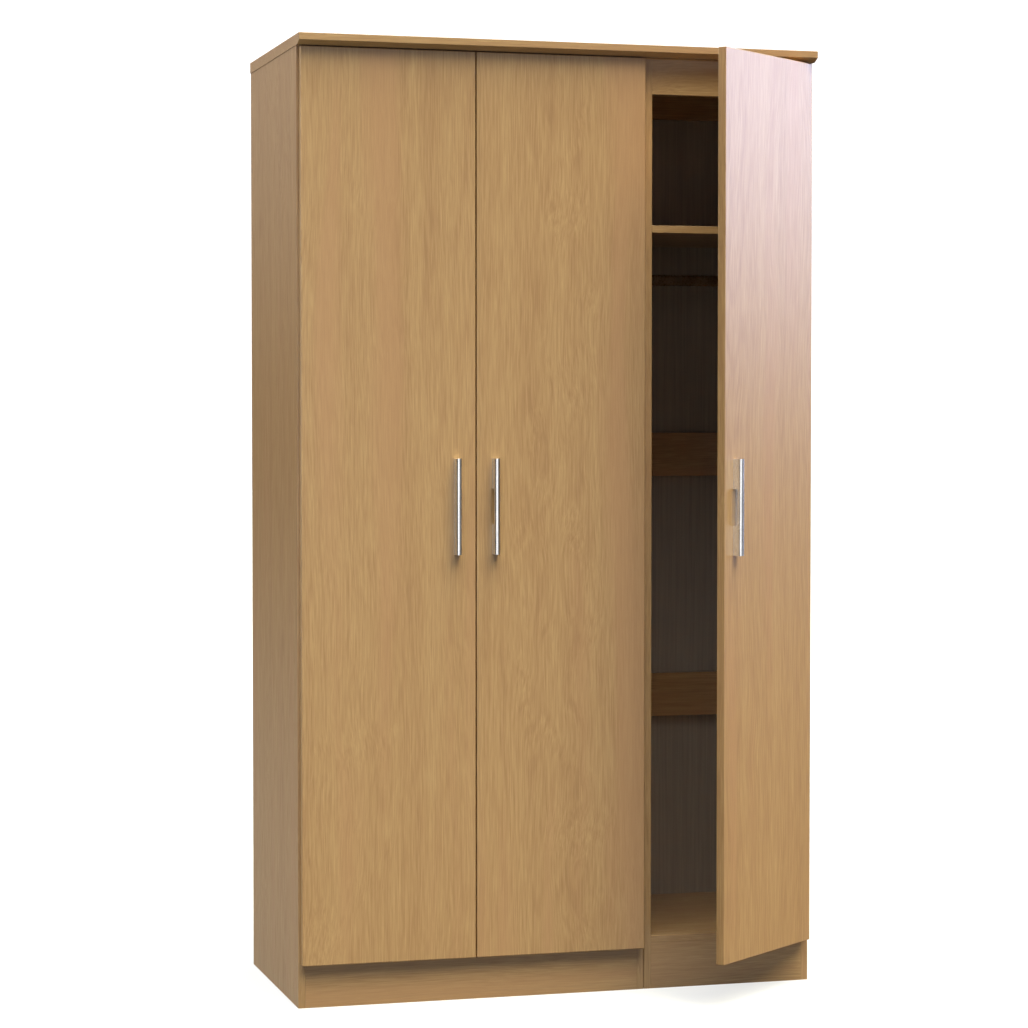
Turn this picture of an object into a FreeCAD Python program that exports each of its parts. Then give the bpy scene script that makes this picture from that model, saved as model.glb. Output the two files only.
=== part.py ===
# Three-door wardrobe: a two-door module and a one-door module bolted side by side
# under one continuous top board.  Millimetres.  +Z is up, +X runs to the right and the
# front faces -Y.  The origin is on the floor, at mid width, in the carcass's front plane.
import FreeCAD, Part
import os

V = FreeCAD.Vector
X_AXIS = V(1, 0, 0)
Y_AXIS = V(0, 1, 0)
Z_AXIS = V(0, 0, 1)

# ---- driving dimensions: carcass ----------------------------------------------------
CARCASS_WIDTH = 1107.0
CARCASS_DEPTH = 492.0
TOTAL_HEIGHT = 1970.0
DOUBLE_WIDTH = 738.5
MODULE_GAP = 1.0
BOARD = 15.0
EDGE_ROUND = 0.8
FIT = 0.1

TOP_BOARD = 22.0
TOP_FRONT_OVERHANG = 38.0
TOP_SIDE_OVERHANG = 1.5
TOP_FACE_HEIGHT = 14.0
TOP_BEVEL_DEPTH = 17.0

PLINTH_HEIGHT = 97.0
RAIL_HEIGHT = 75.0
BACK_RAIL_HEIGHT = 98.0
BACK_RAIL_MID_BOTTOM = 1068.0
BACK_RAIL_LOW_BOTTOM = 522.0
BACK_RAIL_FRONT = 472.0
SHELF_TOP = 1601.0
SHELF_PLAY = 0.5
BACK_PANEL = 3.0
BACK_GROOVE = 6.0

# ---- driving dimensions: doors and handles ------------------------------------------
DOOR = 18.0
DOOR_GAP = 2.0
DOOR_BOTTOM = 89.0
DOOR_TOP = 1945.5
DOOR_REVEAL = 5.3
DOOR_MEETING_GAP = 2.5
DOOR_ROUND = 1.5
RIGHT_DOOR_REST_ANGLE = 39.2

HANDLE_LENGTH = 196.5
HANDLE_WIDTH = 12.5
HANDLE_PROJECTION = 21.0
HANDLE_INSET = 39.3
HANDLE_CENTRE_Z = 1018.5
HANDLE_HOLE_SPACING = 160.0
HANDLE_TAPPED_DEPTH = 11.0
NOTCH_LENGTH = 74.0
NOTCH_DEEP_LENGTH = 63.0
NOTCH_DEPTH = 14.0
NOTCH_END_DEPTH = 9.0
NOTCH_WIDTH = 10.0
NOTCH_ROUND = 3.0

PAD_RADIUS = 4.0
PAD = 1.8
PAD_ROUND = 1.2
PAD_FROM_EDGE = 20.0

# ---- driving dimensions: screws, as shank radius, head radius and head height -------
HANDLE_SCREW = (2.0, 4.0, 2.2)
PLATE_SCREW = (2.0, 3.6, 1.8)
ARM_SCREW = (2.0, 3.4, 1.6)
CUP_SCREW = (1.75, 3.5, 1.6)
SOCKET_SCREW = (1.6, 3.0, 1.6)
CONNECTOR_SCREW = (2.5, 7.0, 1.5)
HANDLE_SCREW_BITE = 9.0
PLATE_SCREW_BITE = 12.0
CUP_SCREW_BITE = 10.0
SOCKET_SCREW_BITE = 10.0
RECESS_DEPTH = 1.0
RECESS_WIDTH = 0.8

# ---- driving dimensions: hinges -----------------------------------------------------
# The hinge axis is a vertical line inside the door, near its outer front corner.
PIVOT_FROM_EDGE = 3.0
PIVOT_BEHIND_FRONT = 7.0
HINGES_PER_DOOR = 4
HINGE_END_DISTANCE = 100.0
CUP_RADIUS = 17.5
CUP_DEPTH = 12.5
CUP_WALL = 1.0
CUP_FROM_EDGE = 22.5
CUP_RIM = 1.5
FLANGE = 1.0
FLANGE_HALF_WIDTH = 6.0
FLANGE_HALF_LENGTH = 30.0
CUP_SCREW_OFFSET = 9.5
CUP_SCREW_HALF_SPACING = 24.0
LINK_RADIUS = 25.0
LINK_HALF_THICKNESS = 1.5
LINK_HALF_HEIGHT = 5.0
LINK_START_ANGLE = 125.0
LINK_END_ANGLE = 178.0
KNUCKLE_HALF_DEPTH = 3.0
KNUCKLE_INNER = 8.0
KNUCKLE_START_ANGLE = 130.0
KNUCKLE_END_ANGLE = 182.0
CHEEK = 2.0
ARM_HALF = 7.5
ARM_END = 75.0
ARM_WEB = 1.5
ARM_WEB_START = 23.0
ARM_OFF_PANEL = 11.0
ARM_EDGE_OFF_PANEL = 4.0
ARM_END_ROUND = 3.0
ARM_SCREW_BEHIND_FRONT = 50.0
PLATE = 2.0
PLATE_HALF_WIDTH = 6.0
PLATE_HALF_LENGTH = 22.0
PLATE_ROUND = 5.0
PLATE_SCREW_Y = 37.0
PLATE_SCREW_HALF_SPACING = 16.0
SADDLE_HALF = 5.0
SADDLE_START = 12.0
SADDLE_END_GAP = 4.0
SADDLE_PLAY = 0.2

# ---- driving dimensions: knock-down fittings, pins and hanging rails ----------------
CAM_RADIUS = 7.5
CAM_POCKET = 12.5
CAM_FROM_END = 24.0
CAM_SLOT_HALF_LENGTH = 5.0
CAM_SLOT_HALF_WIDTH = 0.8
CAM_SLOT_DEPTH = 2.5
CAM_BOLT_RADIUS = 3.4
CAM_BOLT_THREAD = 2.4
CAM_BOLT_BITE = 11.0
CAM_BOLT_SHANK_END = 14.0
CAM_BOLT_NECK = 1.8
CAM_BOLT_HEAD = 3.0
DOWEL_RADIUS = 4.0
DOWEL_IN_BOARD = 21.0
DOWEL_IN_PANEL = 9.0
BASE_CAM_Y = (90.0, 400.0)
BASE_DOWEL_Y = (140.0, 350.0)
TOP_CAM_Y = (110.0, 380.0)
CAM_SHARE_OF_RAIL = 0.35
DOWEL_SHARE_OF_RAIL = 0.7

CONNECTOR_RADIUS = 4.0
CONNECTOR_FLANGE_RADIUS = 7.0
CONNECTOR_FLANGE = 1.5
CONNECTOR_SHORT_OF_FACE = 3.0
CONNECTOR_SCREW_START = 8.0
CONNECTOR_Y = (62.0, 430.0)
CONNECTOR_Z = (340.0, 1690.0)

PIN_RADIUS = 2.5
PIN_IN_PANEL = 9.0
PIN_REACH = 8.0
PIN_TONGUE = 2.0
PIN_TONGUE_HALF_WIDTH = 3.0
PIN_Y = (50.0, 437.0)

RAIL_TUBE_HEIGHT = 24.0
RAIL_TUBE_WIDTH = 15.0
RAIL_TUBE_WALL = 1.2
RAIL_TUBE_Y = 245.0
RAIL_TUBE_Z = 1499.0
SOCKET_DEPTH = 12.0
SOCKET_WALL = 3.0
SOCKET_BASE = 2.0
SOCKET_SCREW_HALF_SPACING = 6.0

# ---- worked-out positions -----------------------------------------------------------
LEFT = -CARCASS_WIDTH / 2
RIGHT = CARCASS_WIDTH / 2
DOUBLE_RIGHT = LEFT + DOUBLE_WIDTH
SINGLE_LEFT = DOUBLE_RIGHT + MODULE_GAP
UNDER_TOP = TOTAL_HEIGHT - TOP_BOARD
RAIL_BOTTOM = UNDER_TOP - RAIL_HEIGHT
BACK_FRONT_FACE = BACK_RAIL_FRONT + BOARD
DOOR_BACK = -DOOR_GAP
DOOR_FRONT = DOOR_BACK - DOOR
PIVOT_Y = DOOR_FRONT + PIVOT_BEHIND_FRONT

# The cross rails at the back of each module, as (bottom, height).
BACK_RAILS = {
    "low": (BACK_RAIL_LOW_BOTTOM, BACK_RAIL_HEIGHT),
    "mid": (BACK_RAIL_MID_BOTTOM, BACK_RAIL_HEIGHT),
    "top": (RAIL_BOTTOM, RAIL_HEIGHT),
}

# Each module's inner width, between its two upright panels.
MODULES = {
    "double": (LEFT + BOARD, DOUBLE_RIGHT - BOARD),
    "single": (SINGLE_LEFT + BOARD, RIGHT - BOARD),
}

DOUBLE_DOORS_LEFT = LEFT + DOOR_REVEAL
DOUBLE_DOORS_RIGHT = DOUBLE_RIGHT - DOOR_REVEAL
DOUBLE_DOOR_WIDTH = (DOUBLE_DOORS_RIGHT - DOUBLE_DOORS_LEFT - DOOR_MEETING_GAP) / 2

# Each door: its two edges, the side it is hinged on (-1 left, +1 right), and how far
# it stands open at rest.
DOORS = {
    "left": (DOUBLE_DOORS_LEFT, DOUBLE_DOORS_LEFT + DOUBLE_DOOR_WIDTH, -1, 0.0),
    "middle": (DOUBLE_DOORS_RIGHT - DOUBLE_DOOR_WIDTH, DOUBLE_DOORS_RIGHT, 1, 0.0),
    "right": (SINGLE_LEFT + DOOR_REVEAL, RIGHT - DOOR_REVEAL, 1, RIGHT_DOOR_REST_ANGLE),
}

# Hinge parts are drawn about the pivot line at X = Y = 0, for a door hinged on its right.
DOOR_BACK_FACE = DOOR - PIVOT_BEHIND_FRONT
CARCASS_FACE = DOOR_BACK_FACE + DOOR_GAP
PANEL_FACE = -(BOARD - DOOR_REVEAL - PIVOT_FROM_EDGE)
CUP_X = PIVOT_FROM_EDGE - CUP_FROM_EDGE
CUP_SCREW_X = CUP_X - CUP_SCREW_OFFSET
CUP_SCREW_HEIGHTS = (-CUP_SCREW_HALF_SPACING, CUP_SCREW_HALF_SPACING)
ARM_WEB_X = PANEL_FACE - ARM_OFF_PANEL
ARM_SCREW_Y = CARCASS_FACE + ARM_SCREW_BEHIND_FRONT
PLATE_Y = CARCASS_FACE + PLATE_SCREW_Y
PLATE_SCREW_HEIGHTS = (-PLATE_SCREW_HALF_SPACING, PLATE_SCREW_HALF_SPACING)


# ---- shape helpers ------------------------------------------------------------------
def block(x, y, z):
    """A box from three (low, high) pairs."""
    return Part.makeBox(x[1] - x[0], y[1] - y[0], z[1] - z[0], V(x[0], y[0], z[0]))


def rod(radius, start, end):
    """A round bar between two points."""
    line = end - start
    return Part.makeCylinder(radius, line.Length, start, line)


def eased(solid, radius, direction, chosen):
    """Rounds the straight edges along a direction whose midpoints are chosen."""
    edges = []
    for edge in solid.Edges:
        along = edge.Vertexes[-1].Point - edge.Vertexes[0].Point
        if along.cross(direction).Length < 1e-6 and chosen(edge.CenterOfMass):
            edges.append(edge)
    return solid.makeFillet(radius, edges)


def crowned(bar, radius, end):
    """Rounds the rim of a round bar at the end whose centre is given."""
    rim = [edge for edge in bar.Edges if edge.CenterOfMass.distanceToPoint(end) < 1e-3]
    return bar.makeFillet(radius, rim)


def ring_sector(inner, outer, start, end, height):
    """A flat arc-shaped plate about the Z axis, centred on Z = 0; angles in degrees."""
    ring = Part.makeCylinder(outer, height, V(0, 0, -height / 2), Z_AXIS, end - start)
    ring = ring.cut(Part.makeCylinder(inner, 2 * height, V(0, 0, -height)))
    ring.rotate(V(0, 0, 0), Z_AXIS, start)
    return ring


def extrude_x(points, x):
    """Extrudes a closed outline of (y, z) points between two X values."""
    corners = [V(x[0], y, z) for y, z in points]
    return Part.Face(Part.makePolygon(corners + corners[:1])).extrude(V(x[1] - x[0], 0, 0))


def seated(shape, point, along, up):
    """Places a shape drawn with its length on +X and its face normal on +Z."""
    placed = shape.copy()
    turn = FreeCAD.Rotation(along, up.cross(along), up, "XZY")
    placed.Placement = FreeCAD.Placement(point, turn)
    return placed


def mirrored(shape):
    return shape.mirror(V(0, 0, 0), X_AXIS)


def cross_recess(point, outwards, reach):
    """The driver's cross, sunk into a head whose outer face is centred on a point."""
    sideways = Z_AXIS if abs(outwards.z) < 0.5 else X_AXIS
    long_way, across = (-reach, reach), (-RECESS_WIDTH / 2, RECESS_WIDTH / 2)
    depth = (-RECESS_DEPTH, FIT)
    cross = block(long_way, across, depth).fuse(block(across, long_way, depth))
    return seated(cross, point, sideways, outwards)


def screw(sizes, tip, seat):
    """A screw with a domed cross-recessed head, from its tip to the head's underside."""
    radius, head_radius, head_height = sizes
    outwards = (seat - tip).normalize()
    top = seat + outwards * head_height
    head = crowned(rod(head_radius, seat, top), head_height * 0.6, top)
    whole = rod(radius, tip, seat).fuse(head).removeSplitter()
    return whole.cut(cross_recess(top, outwards, head_radius * 0.55))


# ---- boards -------------------------------------------------------------------------
def upright(x):
    """A full-height side or partition panel."""
    board = block(x, (0, CARCASS_DEPTH), (0, UNDER_TOP))
    return eased(board, EDGE_ROUND, Z_AXIS, lambda middle: middle.y < 1)


def back_groove(x_face, inwards):
    """The slot that takes one side edge of a back panel."""
    reach = sorted((x_face, x_face - inwards * BACK_GROOVE))
    slot = (BACK_FRONT_FACE - FIT, BACK_FRONT_FACE + BACK_PANEL + FIT)
    return block(reach, slot, (PLINTH_HEIGHT - FIT, UNDER_TOP))


def lying_board(x, bottom):
    """A horizontal board flush with the carcass front, up to the back panel."""
    board = block(x, (0, BACK_FRONT_FACE), (bottom, bottom + BOARD))
    return eased(board, EDGE_ROUND, X_AXIS, lambda middle: middle.y < 1)


def front_board(x, z):
    """A vertical board across the module's front: the top rail or the plinth."""
    board = block(x, (0, BOARD), z)
    return eased(board, EDGE_ROUND, X_AXIS, lambda middle: middle.y < 1 and middle.z > 1)


def back_rail(x, z):
    """A vertical stiffening rail in front of the back panel."""
    board = block(x, (BACK_RAIL_FRONT, BACK_FRONT_FACE), z)
    return eased(board, EDGE_ROUND, X_AXIS, lambda middle: middle.y < BACK_RAIL_FRONT + 1)


def back_panel(x):
    """The thin back sheet, its side edges held in the uprights' grooves."""
    reach = (x[0] - BACK_GROOVE + FIT, x[1] + BACK_GROOVE - FIT)
    thickness = (BACK_FRONT_FACE, BACK_FRONT_FACE + BACK_PANEL)
    return block(reach, thickness, (PLINTH_HEIGHT, UNDER_TOP - FIT))


def top_board():
    """The top, with an upright front face and a flat bevel running back beneath it."""
    front = -TOP_FRONT_OVERHANG
    outline = [
        (front, TOTAL_HEIGHT),
        (front, TOTAL_HEIGHT - TOP_FACE_HEIGHT),
        (front + TOP_BEVEL_DEPTH, UNDER_TOP),
        (CARCASS_DEPTH, UNDER_TOP),
        (CARCASS_DEPTH, TOTAL_HEIGHT),
    ]
    board = extrude_x(outline, (LEFT - TOP_SIDE_OVERHANG, RIGHT + TOP_SIDE_OVERHANG))
    return eased(board, EDGE_ROUND, X_AXIS, lambda middle: middle.y < front + 1)


# ---- knock-down fittings ------------------------------------------------------------
# Each is drawn for a board whose end is at X = 0 and which runs to +X, with its middle
# plane at Z = 0 and the drilled face at -Z; the panel that it joins is at X < 0.
def cam_lock():
    """The eccentric disc that pulls on the bolt's head, with its driver slot."""
    centre = V(CAM_FROM_END, 0, -BOARD / 2 + FIT)
    disc = Part.makeCylinder(CAM_RADIUS - FIT, CAM_POCKET - 2 * FIT, centre)
    mouth = rod(CAM_BOLT_RADIUS + 2 * FIT, V(0, 0, 0), V(CAM_FROM_END + 2, 0, 0))
    slot = block(
        (CAM_FROM_END - CAM_SLOT_HALF_LENGTH, CAM_FROM_END + CAM_SLOT_HALF_LENGTH),
        (-CAM_SLOT_HALF_WIDTH, CAM_SLOT_HALF_WIDTH),
        (-BOARD / 2, -BOARD / 2 + CAM_SLOT_DEPTH),
    )
    return disc.cut(mouth).cut(slot)


def cam_bolt():
    """The bolt: a thread in the panel, a shank, a neck and a round head in the cam."""
    head_start = CAM_FROM_END - CAM_BOLT_HEAD
    thread = rod(CAM_BOLT_THREAD, V(-CAM_BOLT_BITE, 0, 0), V(0, 0, 0))
    shank = rod(CAM_BOLT_RADIUS, V(0, 0, 0), V(CAM_BOLT_SHANK_END, 0, 0))
    neck = rod(CAM_BOLT_NECK, V(CAM_BOLT_SHANK_END, 0, 0), V(head_start, 0, 0))
    head = rod(CAM_BOLT_RADIUS, V(head_start, 0, 0), V(CAM_FROM_END, 0, 0))
    return thread.fuse([shank, neck, head]).removeSplitter()


def cam_hollow():
    """What is drilled for a cam and its bolt, in the board and in the panel."""
    pocket = Part.makeCylinder(CAM_RADIUS, CAM_POCKET, V(CAM_FROM_END, 0, -BOARD / 2))
    bore = rod(CAM_BOLT_RADIUS + 2 * FIT, V(0, 0, 0), V(CAM_FROM_END, 0, 0))
    tapped = rod(CAM_BOLT_THREAD + FIT, V(-CAM_BOLT_BITE - FIT, 0, 0), V(0, 0, 0))
    return pocket.fuse([bore, tapped])


def dowel():
    return rod(DOWEL_RADIUS - FIT, V(-DOWEL_IN_PANEL, 0, 0), V(DOWEL_IN_BOARD, 0, 0))


def dowel_hollow():
    ends = V(-DOWEL_IN_PANEL - FIT, 0, 0), V(DOWEL_IN_BOARD + FIT, 0, 0)
    return rod(DOWEL_RADIUS, *ends)


def joint_seats():
    """Where boards meet panels: (kind, point on the panel, along the board, face up)."""
    seats = []
    base_z = PLINTH_HEIGHT + BOARD / 2
    back_y = BACK_RAIL_FRONT + BOARD / 2
    rails = [(back_y, bottom, height) for bottom, height in BACK_RAILS.values()]
    rails += [(BOARD / 2, 0, PLINTH_HEIGHT), (BOARD / 2, RAIL_BOTTOM, RAIL_HEIGHT)]
    for x_low, x_high in MODULES.values():
        for x, along in ((x_low, X_AXIS), (x_high, -X_AXIS)):
            for y in BASE_CAM_Y:
                seats.append(("cam", V(x, y, base_z), along, Z_AXIS))
            for y in BASE_DOWEL_Y:
                seats.append(("dowel", V(x, y, base_z), along, Z_AXIS))
            for y, bottom, height in rails:
                cam = V(x, y, bottom + height * CAM_SHARE_OF_RAIL)
                peg = V(x, y, bottom + height * DOWEL_SHARE_OF_RAIL)
                seats.append(("cam", cam, along, -Y_AXIS))
                seats.append(("dowel", peg, along, -Y_AXIS))
            for y in TOP_CAM_Y:
                top_seat = V(x - along.x * BOARD / 2, y, UNDER_TOP)
                seats.append(("cam", top_seat, -Z_AXIS, -along))
    return seats


def fittings(seats):
    """All cams, bolts and dowels, and one list of the hollows drilled for them."""
    cams, bolts, dowels, hollows = [], [], [], []
    for kind, point, along, up in seats:
        if kind == "cam":
            cams.append(seated(cam_lock(), point, along, up))
            bolts.append(seated(cam_bolt(), point, along, up))
            hollows.append(seated(cam_hollow(), point, along, up))
        else:
            dowels.append(seated(dowel(), point, along, up))
            hollows.append(seated(dowel_hollow(), point, along, up))
    return cams, bolts, dowels, hollows


# ---- bolts that join the two modules ------------------------------------------------
def connector_points():
    return [(y, z) for y in CONNECTOR_Y for z in CONNECTOR_Z]


def connector_span():
    return MODULES["double"][1], MODULES["single"][0]


def connector_sleeve(y, z):
    """A flanged nut that comes through both partitions from the left bay."""
    left, right = connector_span()
    outer = V(left - CONNECTOR_FLANGE, y, z)
    flange = crowned(rod(CONNECTOR_FLANGE_RADIUS, V(left, y, z), outer), FLANGE, outer)
    tube = rod(CONNECTOR_RADIUS - FIT, V(left, y, z), V(right - CONNECTOR_SHORT_OF_FACE, y, z))
    bore = rod(CONNECTOR_SCREW[0] + FIT, V(left + 1, y, z), V(right, y, z))
    sleeve = flange.fuse(tube).cut(bore).removeSplitter()
    return sleeve.cut(cross_recess(outer, -X_AXIS, CONNECTOR_RADIUS))


def connector_screw(y, z):
    """The machine screw that enters the sleeve from the right bay."""
    left, right = connector_span()
    return screw(CONNECTOR_SCREW, V(left + CONNECTOR_SCREW_START, y, z), V(right, y, z))


def connector_hollow(y, z):
    left, right = connector_span()
    return rod(CONNECTOR_RADIUS, V(left, y, z), V(right, y, z))


# ---- shelf pins and hanging rails ---------------------------------------------------
def shelf_pin_seats():
    seats = []
    for x_low, x_high in MODULES.values():
        for x, along in ((x_low, X_AXIS), (x_high, -X_AXIS)):
            for y in PIN_Y:
                seats.append((V(x, y, SHELF_TOP - BOARD - PIN_RADIUS), along))
    return seats


def shelf_pin(point, along):
    """A pin in the panel with a collar and a tongue under the shelf."""
    pin = rod(PIN_RADIUS - FIT, point - along * PIN_IN_PANEL, point)
    collar = rod(PIN_RADIUS, point, point + along * PIN_REACH)
    foot = point - Z_AXIS * (PIN_RADIUS + PIN_TONGUE)
    x = sorted((foot.x, foot.x + along.x * PIN_TONGUE))
    y = (foot.y - PIN_TONGUE_HALF_WIDTH, foot.y + PIN_TONGUE_HALF_WIDTH)
    return pin.fuse([collar, block(x, y, (foot.z, point.z))]).removeSplitter()


def shelf_pin_hollow(point, along):
    return rod(PIN_RADIUS, point - along * (PIN_IN_PANEL + FIT), point)


def oval_bar(height, width, x):
    """A bar of flat-sided oval section along X, on the hanging rail's centre line."""
    radius = width / 2
    half = height / 2 - radius
    middle_y = (RAIL_TUBE_Y - radius, RAIL_TUBE_Y + radius)
    bar = block(x, middle_y, (RAIL_TUBE_Z - half, RAIL_TUBE_Z + half))
    ends = []
    for z in (RAIL_TUBE_Z - half, RAIL_TUBE_Z + half):
        ends.append(rod(radius, V(x[0], RAIL_TUBE_Y, z), V(x[1], RAIL_TUBE_Y, z)))
    return bar.fuse(ends).removeSplitter()


def hanging_rail(x):
    """An oval tube between the two sockets of a module."""
    reach = (x[0] + SOCKET_BASE + FIT, x[1] - SOCKET_BASE - FIT)
    outer = oval_bar(RAIL_TUBE_HEIGHT, RAIL_TUBE_WIDTH, reach)
    thinner = 2 * RAIL_TUBE_WALL
    return outer.cut(oval_bar(RAIL_TUBE_HEIGHT - thinner, RAIL_TUBE_WIDTH - thinner, reach))


def socket_screw_points():
    heights = (RAIL_TUBE_Z - SOCKET_SCREW_HALF_SPACING, RAIL_TUBE_Z + SOCKET_SCREW_HALF_SPACING)
    return [(RAIL_TUBE_Y, z) for z in heights]


def rail_socket(x_face, inwards):
    """A cupped bracket on an upright that takes one end of the hanging rail."""
    thicker = 2 * SOCKET_WALL
    reach = sorted((x_face, x_face + inwards * SOCKET_DEPTH))
    hollow = sorted((x_face + inwards * SOCKET_BASE, x_face + inwards * (SOCKET_DEPTH + 1)))
    wall = oval_bar(RAIL_TUBE_HEIGHT + thicker, RAIL_TUBE_WIDTH + thicker, reach)
    seat = oval_bar(RAIL_TUBE_HEIGHT + 2 * FIT, RAIL_TUBE_WIDTH + 2 * FIT, hollow)
    socket = wall.cut(seat)
    for y, z in socket_screw_points():
        ends = V(x_face, y, z), V(x_face + inwards * 2 * SOCKET_BASE, y, z)
        socket = socket.cut(rod(SOCKET_SCREW[0] + FIT, *ends))
    return socket


def socket_screw(x_face, inwards, y, z):
    """A small screw inside the tube, through the socket's base into the upright."""
    tip = V(x_face - inwards * SOCKET_SCREW_BITE, y, z)
    return screw(SOCKET_SCREW, tip, V(x_face + inwards * SOCKET_BASE, y, z))


# ---- hinges -------------------------------------------------------------------------
def hinge_cup():
    """The pressed cup with its screw flange and the two knuckle plates inside it."""
    depth = DOOR_BACK_FACE - CUP_DEPTH
    face = V(CUP_X, DOOR_BACK_FACE, 0)
    flange_y = (DOOR_BACK_FACE, DOOR_BACK_FACE + FLANGE)
    cup = rod(CUP_RADIUS, V(CUP_X, depth, 0), face)
    rim = rod(CUP_RADIUS + CUP_RIM, face, face + Y_AXIS * FLANGE)
    flange_x = (CUP_SCREW_X - FLANGE_HALF_WIDTH, CUP_SCREW_X + FLANGE_HALF_WIDTH)
    wings = block(flange_x, flange_y, (-FLANGE_HALF_LENGTH, FLANGE_HALF_LENGTH))
    wings = eased(wings, PLATE_ROUND, Y_AXIS, lambda middle: True)
    hollow = rod(CUP_RADIUS - CUP_WALL, V(CUP_X, depth + CUP_WALL, 0), face + Y_AXIS * 2)
    shell = cup.fuse([rim, wings]).cut(hollow)
    inner, outer = LINK_RADIUS - KNUCKLE_HALF_DEPTH, LINK_RADIUS + KNUCKLE_HALF_DEPTH
    knuckle_height = 2 * (KNUCKLE_INNER + CHEEK)
    knuckle = ring_sector(inner, outer, KNUCKLE_START_ANGLE, KNUCKLE_END_ANGLE, knuckle_height)
    gap = ring_sector(inner - 1, outer + 1, 90.0, 200.0, 2 * KNUCKLE_INNER)
    cup = shell.fuse(knuckle.cut(gap))
    for z in CUP_SCREW_HEIGHTS:
        ends = V(CUP_SCREW_X, 0, z), V(CUP_SCREW_X, DOOR_BACK_FACE + 3, z)
        cup = cup.cut(rod(CUP_SCREW[0] + FIT, *ends))
    return cup.removeSplitter()


def cup_screw(z):
    """A domed wood screw through the cup's flange."""
    tip = V(CUP_SCREW_X, DOOR_BACK_FACE - CUP_SCREW_BITE, z)
    return screw(CUP_SCREW, tip, V(CUP_SCREW_X, DOOR_BACK_FACE + FLANGE, z))


def cup_hollow():
    """What is bored into the door for one cup and its two screws."""
    face = V(CUP_X, DOOR_BACK_FACE, 0)
    pocket = rod(CUP_RADIUS + FIT, face - Y_AXIS * (CUP_DEPTH + FIT), face)
    pilots = []
    for z in CUP_SCREW_HEIGHTS:
        mouth = V(CUP_SCREW_X, DOOR_BACK_FACE, z)
        end = mouth - Y_AXIS * (CUP_SCREW_BITE + 5 * FIT)
        pilots.append(rod(CUP_SCREW[0] + FIT, end, mouth))
    return pocket.fuse(pilots)


def hinge_link():
    """The link between arm and cup: a curved plate about the pivot line."""
    inner, outer = LINK_RADIUS - LINK_HALF_THICKNESS, LINK_RADIUS + LINK_HALF_THICKNESS
    return ring_sector(inner, outer, LINK_START_ANGLE, LINK_END_ANGLE, 2 * LINK_HALF_HEIGHT)


def hinge_arm():
    """The channel-shaped arm whose curved nose dips into the cup."""
    inner, outer = LINK_RADIUS - KNUCKLE_HALF_DEPTH, LINK_RADIUS + KNUCKLE_HALF_DEPTH
    nose = ring_sector(inner, outer, LINK_START_ANGLE, LINK_END_ANGLE, 2 * ARM_HALF)
    body_x = (ARM_WEB_X, PANEL_FACE - ARM_EDGE_OFF_PANEL)
    body = block(body_x, (CARCASS_FACE + 1, ARM_END), (-ARM_HALF, ARM_HALF))
    body = eased(body, ARM_END_ROUND, X_AXIS, lambda middle: middle.y > ARM_END - 1)
    inside = (CHEEK - ARM_HALF, ARM_HALF - CHEEK)
    channel = block((ARM_WEB_X + ARM_WEB, 0), (ARM_WEB_START, ARM_END + 1), inside)
    mouth = block((-40, 0), (-5, ARM_WEB_START), inside)
    ends = V(ARM_WEB_X - 5, ARM_SCREW_Y, 0), V(0, ARM_SCREW_Y, 0)
    arm = body.fuse(nose).cut(channel).cut(mouth)
    return arm.cut(rod(ARM_SCREW[0] + FIT, *ends)).removeSplitter()


def hinge_plate():
    """The cross-shaped mounting plate with a raised block that the arm sits over."""
    wing_y = (PLATE_Y - PLATE_HALF_WIDTH, PLATE_Y + PLATE_HALF_WIDTH)
    wing_z = (-PLATE_HALF_LENGTH, PLATE_HALF_LENGTH)
    wings = block((PANEL_FACE - PLATE, PANEL_FACE), wing_y, wing_z)
    wings = eased(wings, PLATE_ROUND, X_AXIS, lambda middle: True)
    saddle_x = ARM_WEB_X + ARM_WEB + SADDLE_PLAY
    saddle_y = (PLATE_Y - SADDLE_START, ARM_END - SADDLE_END_GAP)
    plate = wings.fuse(block((saddle_x, PANEL_FACE), saddle_y, (-SADDLE_HALF, SADDLE_HALF)))
    for z in PLATE_SCREW_HEIGHTS:
        ends = V(PANEL_FACE - PLATE - 1, PLATE_Y, z), V(0, PLATE_Y, z)
        plate = plate.cut(rod(PLATE_SCREW[0] + FIT, *ends))
    ends = V(saddle_x, ARM_SCREW_Y, 0), V(PANEL_FACE - 1, ARM_SCREW_Y, 0)
    return plate.cut(rod(ARM_SCREW[0], *ends)).removeSplitter()


def plate_screw(z):
    """A screw that holds the plate to the panel."""
    seat = V(PANEL_FACE - PLATE, PLATE_Y, z)
    return screw(PLATE_SCREW, V(PANEL_FACE + PLATE_SCREW_BITE, PLATE_Y, z), seat)


def arm_screw():
    """The machine screw that holds the arm to the plate's raised block."""
    radius, head_radius, head_height = ARM_SCREW
    tip = V(PANEL_FACE - PLATE + SADDLE_PLAY, ARM_SCREW_Y, 0)
    seat = V(ARM_WEB_X, ARM_SCREW_Y, 0)
    return screw((radius - FIT, head_radius, head_height), tip, seat)


def plate_hollow():
    """The two holes drilled into a panel for a hinge plate."""
    holes = []
    for z in PLATE_SCREW_HEIGHTS:
        ends = V(PANEL_FACE, PLATE_Y, z), V(PANEL_FACE + PLATE_SCREW_BITE + FIT, PLATE_Y, z)
        holes.append(rod(PLATE_SCREW[0] + FIT, *ends))
    return holes[0].fuse(holes[1])


def hinge_heights():
    first = DOOR_BOTTOM + HINGE_END_DISTANCE
    step = (DOOR_TOP - HINGE_END_DISTANCE - first) / (HINGES_PER_DOOR - 1)
    return [first + step * index for index in range(HINGES_PER_DOOR)]


def pivot_of(door):
    low, high, side, _ = DOORS[door]
    edge = high if side > 0 else low
    return V(edge - side * PIVOT_FROM_EDGE, PIVOT_Y, 0)


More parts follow.
